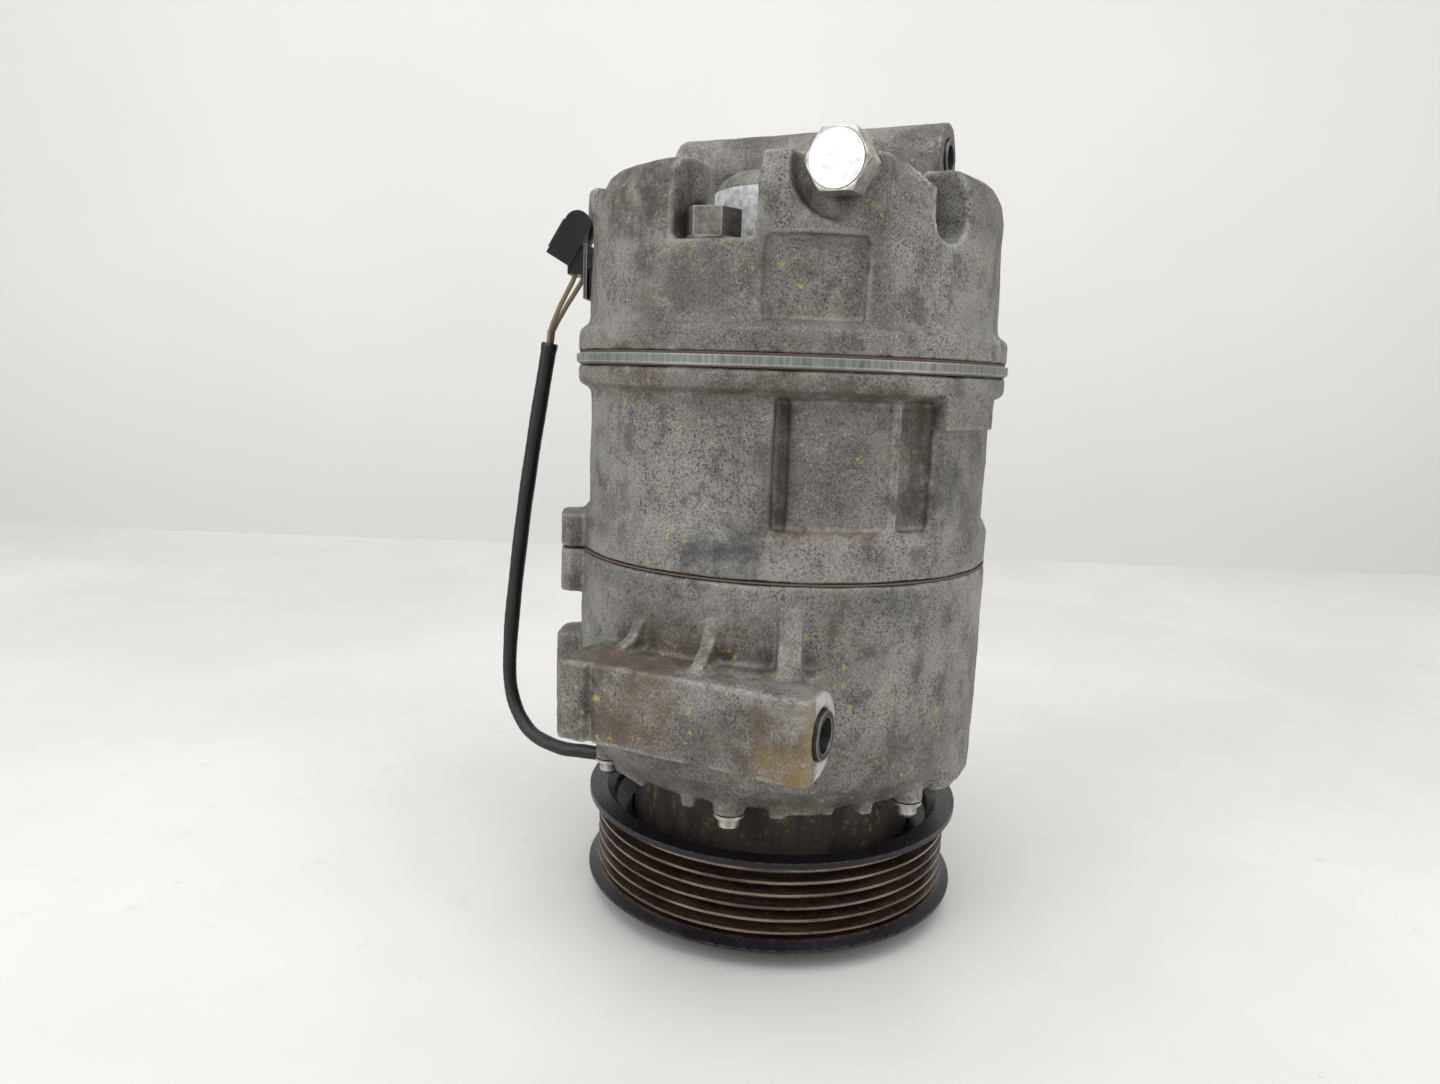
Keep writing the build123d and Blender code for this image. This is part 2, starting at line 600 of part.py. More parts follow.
def make_rear_head():
    outline = [
        (0, head_gasket_top), (head_rim_radius, head_gasket_top), (head_rim_radius, 166.6),
        (60.9, head_rim_top), (59.3, 168.8), (head_wall_radius, 170.2),
        (head_wall_radius - 0.5, 199.0), (57.2, 203.6), (55.6, 206.8), (53.2, 208.8),
        (50.0, shoulder_top), (45.0, shoulder_top), (42.6, 207.4), (41.0, pocket_floor + 2),
        (39.0, pocket_floor), (24.8, pocket_floor), (dome_radius, 190.5), (dome_radius, 207.2),
        (22.4, 209.8), (19.0, 211.8), (9.0, 213.6), (0, 214.0),
    ]
    with BuildPart() as rear_head:
        add(turned(outline))
        # the shoulder is lower at the left, with a small ear and the seat of the connector bracket
        with BuildSketch(Plane.XY.offset(203.8)):
            with BuildLine():
                Polyline((0, 0), corner(-82, 90), corner(-42.5, 90), close=True)
            make_face()
            Circle(38.0, mode=Mode.SUBTRACT)
        extrude(amount=10.0, mode=Mode.SUBTRACT)
        with Locations(spot(-52.0, 56.0, 201.6)):
            Box(14.0, 9.6, 6.6)
        with Locations(spot(connector_angle, 56.4, 181.0)):
            Box(9.0, 6.2, 9.0)
        fillet(rear_head.edges().filter_by(Axis.Z).filter_by(
            lambda e: hypot(e.center().X, e.center().Y) > 60.5), 2.5)
        # block that carries the relief valve, with a rounded rib at its left edge
        with Locations((26.0, -43.0, 198.5)):
            Box(28.0, 22.0, 21.0)
        with BuildSketch(Plane.XY.offset(187.4)):
            Circle(90.0)
            Circle(relief_block_radius, mode=Mode.SUBTRACT)
            with BuildLine():
                Polyline((0, 0), corner(75, 150), corner(225, 150), corner(375, 150), close=True)
            make_face(mode=Mode.SUBTRACT)
        extrude(amount=25.0, mode=Mode.SUBTRACT)
        with BuildSketch(Plane.XZ.offset(33.0)):
            with Locations((15.6, 197.8)):
                SlotOverall(22.0, 7.4, rotation=90)
        extrude(amount=21.0)
        # bolt pockets open to the outside
        half = 7.4
        for angle in case_bolt_angles:
            with Locations(spot(angle, case_bolt_circle, bolt_seat(angle))):
                Cylinder(half, 60, align=(Align.CENTER, Align.CENTER, Align.MIN), mode=Mode.SUBTRACT)
            if angle != deep_bolt_angle:
                with Locations(spot(angle, case_bolt_circle, pocket_floor)):
                    Box(2 * half, 30, 60, align=(Align.CENTER, Align.MAX, Align.MIN),
                        mode=Mode.SUBTRACT)
        # slot with a round bottom beside the deep bolt hole
        with BuildSketch(Plane(spot(slot_angle, 46.0, 209.9) * Rot(90, 0, 0))):
            SlotOverall(40.0, 2 * slot_half, rotation=90)
        extrude(amount=30.0, mode=Mode.SUBTRACT)
        # the front pocket is wider and runs in to the centre
        with Locations((1.5, -70.0, pocket_floor)):
            Box(21.0, 42.0, 60, align=(Align.CENTER, Align.MIN, Align.MIN), mode=Mode.SUBTRACT)
        with Locations((-12.0, -44.2, 203.8)):
            Box(8.4, 6.6, 10.4)
        # sloping ends of the raised lobes between the pockets
        for angle in (-42.5, 49.0, 65.6):
            with Locations(spot(angle, 50.0, shoulder_top + 1.6) * Rot(0, 45, 0)):
                Box(5.4, 26.0, 5.4, mode=Mode.SUBTRACT)
        # spot face round the relief valve and recessed panel below it
        with Locations(Location((relief_x, relief_seat_y, relief_z), (90, 0, 0))):
            Cylinder(12.6, 30, align=(Align.CENTER, Align.CENTER, Align.MIN), mode=Mode.SUBTRACT)
        with BuildSketch(Plane.XY.offset(169.4)):
            with BuildLine():
                Polyline((0, 0), corner(14.4, 80), corner(39.4, 80), close=True)
            make_face()
            Circle(56.1, mode=Mode.SUBTRACT)
        extrude(amount=189.5 - 169.4, mode=Mode.SUBTRACT)

        # rear mounting lug on its web
        with BuildSketch(Plane.YZ.offset(rear_lug_left)):
            with Locations((rear_lug_y, rear_lug_z)):
                Circle(rear_lug_radius)
        extrude(amount=rear_lug_right - rear_lug_left)
        with BuildSketch(Plane.YZ.offset(-38.0)):
            with BuildLine():
                Polyline((rear_lug_y - 10.6, rear_lug_z), (rear_lug_y + 10.6, rear_lug_z),
                         (rear_lug_y + 4.0, 190.0), (rear_lug_y - 14.0, 190.0), close=True)
            make_face()
        extrude(amount=66.0)
        # refrigerant port pad on the far side
        with Locations((0, 52.0, 179.0)):
            Box(54.0, 26.0, 26.0)

        # openings
        with Locations(Pos(0, 0, head_gasket_top)):
            Cylinder(30.4, 16.0, align=(Align.CENTER, Align.CENTER, Align.MIN), mode=Mode.SUBTRACT)
        add(ring(45.0, 33.0, head_gasket_top, 176.0), mode=Mode.SUBTRACT)
        for angle in case_bolt_angles:
            with Locations(spot(angle, case_bolt_circle, 150)):
                Cylinder(case_bolt_hole, 80, align=(Align.CENTER, Align.CENTER, Align.MIN),
                         mode=Mode.SUBTRACT)
        with Locations(Location((0, rear_lug_y, rear_lug_z), (0, 90, 0))):
            Cylinder(lug_bore_radius, 160, mode=Mode.SUBTRACT)
        # relief valve port
        with Locations(Location((relief_x, relief_seat_y, relief_z), (-90, 0, 0))):
            Cylinder(5.0, 14, align=(Align.CENTER, Align.CENTER, Align.MIN), mode=Mode.SUBTRACT)
        # suction and discharge ports with the clamp bolt thread between them
        for x, radius, deep in ((-14.0, 8.0, 26.0), (14.0, 6.5, 26.0), (0.0, 3.4, 18.0)):
            with Locations(Location((x, 65.0, 182.0 if radius > 4 else 174.0), (90, 0, 0))):
                Cylinder(radius, deep, align=(Align.CENTER, Align.CENTER, Align.MIN),
                         mode=Mode.SUBTRACT)
    save(rear_head, "rear_head")


# ======================= bolts, relief valve and lead ========================================
def make_case_bolts():
    with BuildPart() as case_bolts:
        for angle in case_bolt_angles:
            seat = bolt_seat(angle)
            place = spot(angle, case_bolt_circle, seat + 0.8)
            with BuildSketch(Plane(place * Rot(0, 0, 15))):
                RegularPolygon(case_bolt_flats / 2, 6, major_radius=False)
            extrude(amount=7.0)
            with Locations(spot(angle, case_bolt_circle, seat)):
                Cylinder(6.9, 0.8, align=(Align.CENTER, Align.CENTER, Align.MIN))
            with Locations(spot(angle, case_bolt_circle, case_bolt_end)):
                Cylinder(case_bolt_radius, seat - case_bolt_end,
                         align=(Align.CENTER, Align.CENTER, Align.MIN))
    save(case_bolts, "case_bolts")


def make_relief_valve():
    axis_out = Location((relief_x, relief_seat_y, relief_z), (90, 0, 0))
    with BuildPart() as relief_valve_body:
        with BuildSketch(Plane(axis_out).offset(1.0)):
            RegularPolygon(7.0, 6, major_radius=False)
        extrude(amount=8.0)
        with Locations(axis_out * Pos(0, 0, 1.0)):
            Cone(20.2, 7.3, 8.0, align=(Align.CENTER, Align.CENTER, Align.MIN),
                 mode=Mode.INTERSECT)
        with Locations(axis_out):
            Cylinder(4.98, 12.0, align=(Align.CENTER, Align.CENTER, Align.MAX))
            Cylinder(4.98, 3.0, align=(Align.CENTER, Align.CENTER, Align.MIN))
        with Locations(axis_out * Pos(0, 0, 8.4)):
            Cylinder(6.6, 2, align=(Align.CENTER, Align.CENTER, Align.MIN), mode=Mode.SUBTRACT)
        with Locations(axis_out * Pos(0, 0, -9.0)):
            Cylinder(3.4, 17.5, align=(Align.CENTER, Align.CENTER, Align.MIN), mode=Mode.SUBTRACT)
            Cylinder(1.6, 10, mode=Mode.SUBTRACT)
    save(relief_valve_body, "relief_valve_body")
    with BuildPart() as relief_valve_cap:
        with Locations(axis_out * Pos(0, 0, 8.4)):
            Cylinder(6.6, 0.8, align=(Align.CENTER, Align.CENTER, Align.MIN))
    save(relief_valve_cap, "relief_valve_cap")
    with BuildPart() as relief_valve_seal:
        with Locations(axis_out * Pos(0, 0, 0.5)):
            Torus(5.9, 0.49)
    save(relief_valve_seal, "relief_valve_seal")
    with BuildPart() as relief_valve_poppet:
        with Locations(axis_out * Pos(0, 0, -9.0)):
            Cylinder(3.3, 2.6, align=(Align.CENTER, Align.CENTER, Align.MIN))
            Cylinder(1.5, 5.0, align=(Align.CENTER, Align.CENTER, Align.MIN))
    save(relief_valve_poppet, "relief_valve_poppet")
    with BuildPart() as relief_valve_spring:
        with BuildLine() as coil:
            Helix(pitch=2.0, height=13.6, radius=2.7, direction=(0, -1, 0),
                  center=(relief_x, relief_seat_y + 5.9, relief_z))
        with BuildSketch(Plane(origin=coil.line @ 0, z_dir=coil.line % 0)):
            Circle(0.42)
        sweep()
    save(relief_valve_spring, "relief_valve_spring")


lead_path = [
    (-71.0, -20.0, 164.0), (-76.6, -20.5, 132.0), (-80.3, -21.5, 104.0), (-82.6, -23.5, 72.0),
    (-80.4, -26.0, 54.0), (-72.0, -28.5, 43.4), (-60.0, -30.0, 40.3), (-50.0, -28.8, 40.2),
    (-42.6, -27.4, 40.2),
]


def tube(points, outer, inner):
    with BuildPart(mode=Mode.PRIVATE) as body:
        with BuildLine() as path:
            Spline(*points)
        with BuildSketch(Plane(origin=path.line @ 0, z_dir=path.line % 0)):
            Circle(outer)
            if inner:
                Circle(inner, mode=Mode.SUBTRACT)
        sweep()
    return body


def wire_exit(side, height):
    """Point under the connector cover where one of the two wires comes out."""
    place = spot(connector_angle, 63.0 - 1.1 * side, height) * Pos(1.2 - 2.4 * side, 0, 0)
    return place.position


def make_lead():
    save(tube(lead_path, 2.35, 1.75), "lead_sleeve")
    centre_line = Spline(*lead_path)
    steps = 24
    wires = []
    for side in (-0.82, 0.82):
        shift = Vector(0, side, 0)
        inside = [centre_line @ (step / steps) + shift for step in range(steps)]
        above = inside[0] - (centre_line % 0) * 4.0
        top = wire_exit(side, 183.0)
        middle = top + (above - top) * 0.5 + Vector(-0.7, 0, -0.8)
        wires.append(tube([top, middle, above] + inside, 0.68, 0).part)
    with BuildPart() as lead_wires:
        for wire in wires:
            add(wire)
    save(lead_wires, "lead_wires")

    tilted = spot(connector_angle, 65.2, 192.5) * Rot(-30, 0, 0)
    with BuildPart() as connector_body:
        with Locations(tilted):
            Box(13.0, 7.6, 11.5)
            with Locations(Location((0, 0, 5.75), (0, 90, 0))):
                Cylinder(3.8, 13.0)
            with Locations(Pos(0, -4.4, 0.5)):
                Box(4.4, 1.8, 9.0)
        with Locations(spot(connector_angle, 63.0, 187.4)):
            Box(11.0, 4.6, 7.8)
        with Locations(tilted * Pos(0, -0.6, -4.2)):
            Box(10.6, 4.6, 6.0, mode=Mode.SUBTRACT)
        for side in (-0.82, 0.82):
            with Locations(Pos(*wire_exit(side, 184.6))):
                Cylinder(1.2, 3.2, mode=Mode.SUBTRACT)
    save(connector_body, "connector_body")
    with BuildPart() as connector_pins:
        for side in (-2.6, 2.6):
            with Locations(tilted * Pos(side, -0.6, -3.4)):
                Box(2.2, 0.8, 4.4)
    save(connector_pins, "connector_pins")
    with BuildPart() as connector_bracket:
        with Locations(spot(connector_angle, 60.05, 184.45)):
            Box(12.0, 1.0, 15.5)
        with Locations(spot(connector_angle, 60.2, 191.9)):
            Box(12.0, 1.3, 0.6)
    save(connector_bracket, "connector_bracket")
    with BuildPart() as wire_seals:
        for side in (-0.82, 0.82):
            with Locations(Pos(*wire_exit(side, 184.8))):
                Cylinder(1.18, 2.6)
    save(wire_seals, "wire_seals")


def make_label():
    with BuildPart() as blank_label:
        with BuildSketch(Plane.XY.offset(191.5)):
            Circle(dome_radius + 0.3)
            Circle(dome_radius, mode=Mode.SUBTRACT)
            with BuildLine():
                Polyline((0, 0), corner(-60, 80), corner(60, 80), close=True)
            make_face(mode=Mode.INTERSECT)
        extrude(amount=15.4)
    save(blank_label, "blank_label")


# ================================ moving insides ==============================================
def make_shaft_line():
    with BuildPart() as drive_shaft:
        add(turned([
            (3.0, 8.1), (5.5, 8.1), (shaft_end_radius, 8.6), (shaft_end_radius, 20.5),
            (shaft_radius - 0.5, 20.5), (shaft_radius, 21.0), (shaft_radius, 146.0),
            (shaft_radius - 1, 147.0), (0, 147.0), (0, 30.0), (3.0, 28.0),
        ]))
    save(drive_shaft, "drive_shaft")
    with BuildPart() as lug_plate:
        add(ring(38.0, shaft_radius, 66.0, 73.0))
        add(ring(14.0, shaft_radius, 73.0, 78.0))
        for side in (-6.5, 6.5):
            with Locations((side, 17.2, 77.9)):
                Box(4.0, 7.4, 12.8)
        with Locations(Location((0, 17.5, 81.0), (0, 90, 0))):
            Cylinder(2.5, 40, mode=Mode.SUBTRACT)
        with Locations((0, -27.0, 75.5)):
            Box(30.0, 14.0, 6.0)
    save(lug_plate, "lug_plate")
    with BuildPart() as swash_plate:
        add(ring(swash_radius, shaft_radius + 0.05, swash_middle - swash_half,
                 swash_middle + swash_half))
        add(ring(14.0, shaft_radius + 0.05, 84.0, 103.0))
        with Locations((0, 17.5, 83.5)):
            Box(8.8, 8.0, 11.0)
        with Locations(Location((0, 17.5, 81.0), (0, 90, 0))):
            Cylinder(2.5, 40, mode=Mode.SUBTRACT)
    save(swash_plate, "swash_plate")
    with BuildPart() as hinge_pin:
        with Locations(Location((0, 17.5, 81.0), (0, 90, 0))):
            Cylinder(2.48, 17.4)
    save(hinge_pin, "hinge_pin")
    with BuildPart() as return_spring:
        with BuildLine() as coil:
            Helix(pitch=2.9, height=14.5, radius=10.0, center=(0, 0, 104.0))
        with BuildSketch(Plane(origin=coil.line @ 0, z_dir=coil.line % 0)):
            Circle(0.9)
        sweep()
    save(return_spring, "return_spring")


def make_pistons():
    with BuildPart() as pistons:
        for number in range(piston_count):
            angle = 360 / piston_count * number
            with BuildPart(mode=Mode.PRIVATE) as one:
                with Locations(spot(angle, piston_circle, piston_bottom)):
                    Cylinder(piston_radius, piston_top - piston_bottom,
                             align=(Align.CENTER, Align.CENTER, Align.MIN))
                with Locations(spot(angle, 34.0, 80.0)):
                    Box(15.0, 22.0, 33.0, align=(Align.CENTER, Align.CENTER, Align.MIN))
                add(turned([(0, 70), (45.1, 70), (45.1, 160), (0, 160)]), mode=Mode.INTERSECT)
                with Locations(spot(angle, 32.0, swash_middle)):
                    Box(20.0, 19.4, 12.4, mode=Mode.SUBTRACT)
                with Locations(spot(angle, piston_circle, swash_middle)):
                    Sphere(shoe_sphere + 0.03, mode=Mode.SUBTRACT)
                with Locations(spot(angle, piston_circle, piston_bottom + 6)):
                    Cylinder(8.5, 28.0, align=(Align.CENTER, Align.CENTER, Align.MIN),
                             mode=Mode.SUBTRACT)
            add(one.part)
    save(pistons, "pistons")
    with BuildPart() as shoes:
        for number in range(piston_count):
            place = spot(360 / piston_count * number, piston_circle, swash_middle)
            for sign in (-1, 1):
                with BuildPart(mode=Mode.PRIVATE) as shoe:
                    with Locations(place):
                        Sphere(shoe_sphere)
                    with Locations(place * Pos(0, 0, sign * (swash_half + 0.02))):
                        Box(30, 30, 5.0, mode=Mode.INTERSECT,
                            align=(Align.CENTER, Align.CENTER,
                                   Align.MIN if sign > 0 else Align.MAX))
                add(shoe.part)
    save(shoes, "swash_shoes")


def make_shaft_bearings():
    with BuildPart() as cups:
        add(ring(13.0, 11.02, 46.0, 59.0))
        add(ring(13.0, 11.02, 123.0, 137.0))
    save(cups, "needle_bearing_cups")
    with BuildPart() as needles:
        for low in (46.5, 123.5):
            with Locations(Pos(0, 0, low)):
                with PolarLocations(9.51, 16):
                    Cylinder(1.48, 12.0, align=(Align.CENTER, Align.CENTER, Align.MIN))
    save(needles, "needle_rollers")
    with BuildPart() as races:
        add(ring(21.0, 9.0, 60.0, 61.5))
    save(races, "thrust_race")
    with BuildPart() as rollers:
        with Locations(Pos(0, 0, 63.74)):
            with PolarLocations(15.5, 16):
                Cylinder(2.2, 8.0, rotation=(0, 90, 0))
    save(rollers, "thrust_rollers")
    with BuildPart() as shaft_seal:
        add(turned([
            (shaft_radius + 0.03, 27.0), (8.8, 26.0), (9.6, 25.0), (11.5, 25.0), (11.5, 33.0),
            (10.4, 33.0), (10.4, 28.0), (9.4, 28.0), (9.0, 30.0), (shaft_radius + 0.03, 30.0),
        ]))
    save(shaft_seal, "shaft_seal")


make_pulley()
make_bearing()
snap_ring("pulley_snap_ring", 26.1, 23.2, 35.65, 36.75, 180, 4.0, True)
snap_ring("bearing_snap_ring", 17.2, 14.05, 12.05, 13.35, 180, 4.0, False)
snap_ring("coil_snap_ring", 19.4, 15.65, 36.85, 38.35, 180, 4.0, False)
make_coil()
make_armature()
make_hub()
make_front_housing()
make_front_hardware()
make_block()
make_plates()
make_rear_head()
make_case_bolts()
make_relief_valve()
make_lead()
make_label()
make_shaft_line()
make_pistons()
make_shaft_bearings()
snap_ring("seal_snap_ring", 12.35, 9.6, 23.05, 24.15, 0, 3.0, True)
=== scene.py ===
"""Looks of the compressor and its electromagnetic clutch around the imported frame.

Metres, row frame: +Z up the shaft, -Y is the side with the front lug.
"""
import bpy
import json
from math import cos, pi, radians, sin
from mathutils import Matrix, Vector


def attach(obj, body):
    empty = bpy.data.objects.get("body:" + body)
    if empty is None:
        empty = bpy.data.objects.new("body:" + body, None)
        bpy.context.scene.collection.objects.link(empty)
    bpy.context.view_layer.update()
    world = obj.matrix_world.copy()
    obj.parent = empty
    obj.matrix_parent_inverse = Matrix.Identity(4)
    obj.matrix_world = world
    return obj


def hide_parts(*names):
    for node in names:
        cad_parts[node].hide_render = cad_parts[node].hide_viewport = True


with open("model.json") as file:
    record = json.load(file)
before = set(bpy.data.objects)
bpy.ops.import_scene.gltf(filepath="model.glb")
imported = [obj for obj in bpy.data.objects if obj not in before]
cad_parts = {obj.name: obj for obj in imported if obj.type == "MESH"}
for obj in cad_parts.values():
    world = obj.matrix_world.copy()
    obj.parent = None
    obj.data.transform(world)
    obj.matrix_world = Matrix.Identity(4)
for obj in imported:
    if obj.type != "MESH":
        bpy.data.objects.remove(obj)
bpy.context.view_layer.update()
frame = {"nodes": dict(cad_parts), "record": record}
nodes = frame["nodes"]


# ------------------------------ node helpers -------------------------------------------
class Shader:
    """A small wrapper for building one procedural material."""

    def __init__(self, name):
        self.material = bpy.data.materials.new(name)
        self.material.use_nodes = True
        self.tree = self.material.node_tree
        self.tree.nodes.clear()
        self.out = self.add("ShaderNodeOutputMaterial")
        self.bsdf = self.add("ShaderNodeBsdfPrincipled")
        self.link(self.bsdf.outputs[0], self.out.inputs[0])
        self.coords = self.add("ShaderNodeTexCoord").outputs["Object"]

    def add(self, kind, **settings):
        node = self.tree.nodes.new(kind)
        for key, value in settings.items():
            setattr(node, key, value)
        return node

    def link(self, source, target):
        self.tree.links.new(source, target)

    def put(self, target, value):
        if hasattr(value, "node"):
            self.link(value, target)
        else:
            target.default_value = value

    def stretched(self, scale):
        node = self.add("ShaderNodeMapping")
        self.link(self.coords, node.inputs["Vector"])
        node.inputs["Scale"].default_value = scale
        return node.outputs[0]

    def noise(self, scale, detail=4.0, rough=0.55, vector=None, seed=0.0):
        node = self.add("ShaderNodeTexNoise")
        node.noise_dimensions = "4D"
        self.link(vector or self.coords, node.inputs["Vector"])
        node.inputs["W"].default_value = seed
        node.inputs["Scale"].default_value = scale
        node.inputs["Detail"].default_value = detail
        node.inputs["Roughness"].default_value = rough
        return node.outputs["Fac"]

    def ramp(self, value, low, high, start=0.0, end=1.0):
        node = self.add("ShaderNodeMapRange")
        node.interpolation_type = "SMOOTHSTEP"
        self.link(value, node.inputs["Value"])
        node.inputs["From Min"].default_value = low
        node.inputs["From Max"].default_value = high
        node.inputs["To Min"].default_value = start
        node.inputs["To Max"].default_value = end
        return node.outputs["Result"]

    def math(self, operation, a, b=0.0):
        node = self.add("ShaderNodeMath", operation=operation)
        self.put(node.inputs[0], a)
        self.put(node.inputs[1], b)
        return node.outputs[0]

    def mix(self, factor, a, b):
        node = self.add("ShaderNodeMix", data_type="RGBA")
        self.put(node.inputs["Factor"], factor)
        self.put(node.inputs[6], a if hasattr(a, "node") else (*a, 1.0))
        self.put(node.inputs[7], b if hasattr(b, "node") else (*b, 1.0))
        return node.outputs[2]

    def bump(self, height, strength, distance):
        node = self.add("ShaderNodeBump")
        node.inputs["Strength"].default_value = strength
        node.inputs["Distance"].default_value = distance
        self.link(height, node.inputs["Height"])
        return node.outputs[0]

    def edges(self, radius, low, high):
        """1 on convex edges, from the difference of the bevelled and true normals; it drives worn
        edges and painted edge highlights.
        """
        bevel = self.add("ShaderNodeBevel", samples=4)
        bevel.inputs["Radius"].default_value = radius
        geometry = self.add("ShaderNodeNewGeometry")
        dot = self.add("ShaderNodeVectorMath", operation="DOT_PRODUCT")
        self.link(bevel.outputs[0], dot.inputs[0])
        self.link(geometry.outputs["Normal"], dot.inputs[1])
        return self.ramp(dot.outputs["Value"], high, low)

    def hollow(self, distance, low, high):
        """1 in crevices and under ledges, where shade falls; used to paint shade together with grime.
        """
        node = self.add("ShaderNodeAmbientOcclusion", samples=6)
        node.inputs["Distance"].default_value = distance
        return self.ramp(node.outputs["AO"], high, low)

    def box_mask(self, low, high, soft):
        """1 inside a box of the row frame, fading over soft metres."""
        split = self.add("ShaderNodeSeparateXYZ")
        self.link(self.coords, split.inputs[0])
        total = None
        for index in range(3):
            rise = self.ramp(split.outputs[index], low[index] - soft, low[index] + soft)
            fall = self.ramp(split.outputs[index], high[index] + soft, high[index] - soft)
            part = self.math("MULTIPLY", rise, fall)
            total = part if total is None else self.math("MULTIPLY", total, part)
        return total

    def finish(self, color, rough, metallic=0.0, normal=None, **more):
        self.put(self.bsdf.inputs["Base Color"], color if hasattr(color, "node") else (*color, 1.0))
        self.put(self.bsdf.inputs["Roughness"], rough)
        self.put(self.bsdf.inputs["Metallic"], metallic)
        if normal is not None:
            self.link(normal, self.bsdf.inputs["Normal"])
        for key, value in more.items():
            self.put(self.bsdf.inputs[key.replace("_", " ")], value)
        return self.material


# ------------------------------ materials ------------------------------------------------
stain_fade = 0.003
machined_fade = 0.0004
cast_metallic = 0.3
# pulley: heights and radii between which each zone fades in
band_bottom = (0.0062, 0.0068)
band_top = (0.0284, 0.0278)
groove_root = (0.0498, 0.0502)
groove_rim = (0.0540, 0.0537)
crest_inner = (0.05330, 0.05342)
crest_outer = (0.05370, 0.05355)
first_crest = (0.0085, 0.0095)
red_spot = ((-0.0185, -0.0545, 0.0260), (-0.0140, -0.0490, 0.0290))


cast_tints = {
    "pale_skin": (0.300, 0.290, 0.268), "deep_skin": (0.165, 0.156, 0.142),
    "dark_mottle": (0.082, 0.076, 0.068), "pale_mottle": (0.37, 0.36, 0.335),
    "smudge": (0.062, 0.062, 0.066), "pepper": (0.024, 0.021, 0.019),
    "fine_pits": (0.045, 0.040, 0.035), "salt": (0.52, 0.51, 0.48),
    # the next dark colour fills the hollows: real grime together with painted shade
    "grime": (0.048, 0.038, 0.028), "fleck": (0.44, 0.31, 0.080),
    # the pale edge colour: wear together with a painted highlight
    "drip": (0.075, 0.062, 0.050), "rubbed_and_highlight": (0.60, 0.59, 0.56), "machined": (0.60, 0.60, 0.58),
}


def cast_skin(s, seed, tone, mottled):
    """Broad pale and dark areas, mottling, and wide bluish black smudges."""
    broad = s.noise(22.0, 4.0, 0.6, seed=seed)
    pale = tuple(c * tone for c in cast_tints["pale_skin"])
    deep = tuple(c * tone for c in cast_tints["deep_skin"])
    base = s.mix(s.ramp(broad, 0.36, 0.64), deep, pale)
    base = s.mix(s.ramp(mottled, 0.50, 0.62, 0.0, 0.70), base, cast_tints["dark_mottle"])
    base = s.mix(s.ramp(mottled, 0.46, 0.34, 0.0, 0.45), base, cast_tints["pale_mottle"])
    smudge = s.noise(42.0, 6.0, 0.7, seed=seed + 13)
    return s.mix(s.ramp(smudge, 0.56, 0.68, 0.0, 0.6), base, cast_tints["smudge"])


def cast_grain(s, seed, base, fine, dark_grain):
    """Salt and pepper grain of the sand skin."""
    density = s.noise(75.0, 4.0, 0.65, seed=seed + 19)
    pale_grain = s.noise(2100.0, 3.0, 0.7, seed=seed + 9)
    pepper = s.math("MULTIPLY", s.ramp(dark_grain, 0.49, 0.58),
                    s.ramp(density, 0.34, 0.60, 0.35, 1.0))
    base = s.mix(s.math("MULTIPLY", pepper, 0.95), base, cast_tints["pepper"])
    base = s.mix(s.ramp(fine, 0.56, 0.66, 0.0, 0.6), base, cast_tints["fine_pits"])
    salt = s.math("MULTIPLY", s.ramp(pale_grain, 0.57, 0.66),
                  s.ramp(density, 0.62, 0.40, 0.25, 1.0))
    return s.mix(s.math("MULTIPLY", salt, 0.75), base, cast_tints["salt"])


def cast_dirt_and_shade(s, seed, base, mottled, fine, stains):
    """Grime and painted shade in hollows, oil stains in their places, ochre specks and drips down the
    wall.
    """
    # painted shade: ambient occlusion darkens crevices and ledge undersides where shade falls, mixed
    # with real grime
    grime_and_shade = s.hollow(0.008, 0.35, 0.95)
    grime_and_shade = s.math("MULTIPLY", grime_and_shade, s.ramp(mottled, 0.28, 0.60, 0.45, 1.0))
    base = s.mix(s.math("MULTIPLY", grime_and_shade, 0.85), base, cast_tints["grime"])
    for low, high, color, power in stains:
        mask = s.math("MULTIPLY", s.box_mask(low, high, stain_fade),
                      s.ramp(mottled, 0.36, 0.54, 0.15, 1.0))
        mask = s.math("MULTIPLY", mask, s.ramp(fine, 0.30, 0.60, 0.35, 1.0))
        base = s.mix(s.math("MULTIPLY", mask, power), base, color)
    flecks = s.noise(430.0, 4.0, 0.7, seed=seed + 15)
    region = s.noise(34.0, 3.0, 0.6, seed=seed + 17)
    fleck = s.math("MULTIPLY", s.ramp(flecks, 0.60, 0.64), s.ramp(region, 0.48, 0.58, 0.0, 1.0))
    base = s.mix(s.math("MULTIPLY", fleck, 0.85), base, cast_tints["fleck"])
    drips = s.noise(95.0, 5.0, 0.65, vector=s.stretched((1, 1, 0.22)), seed=seed + 23)
    return s.mix(s.ramp(drips, 0.56, 0.68, 0.0, 0.6), base, cast_tints["drip"])


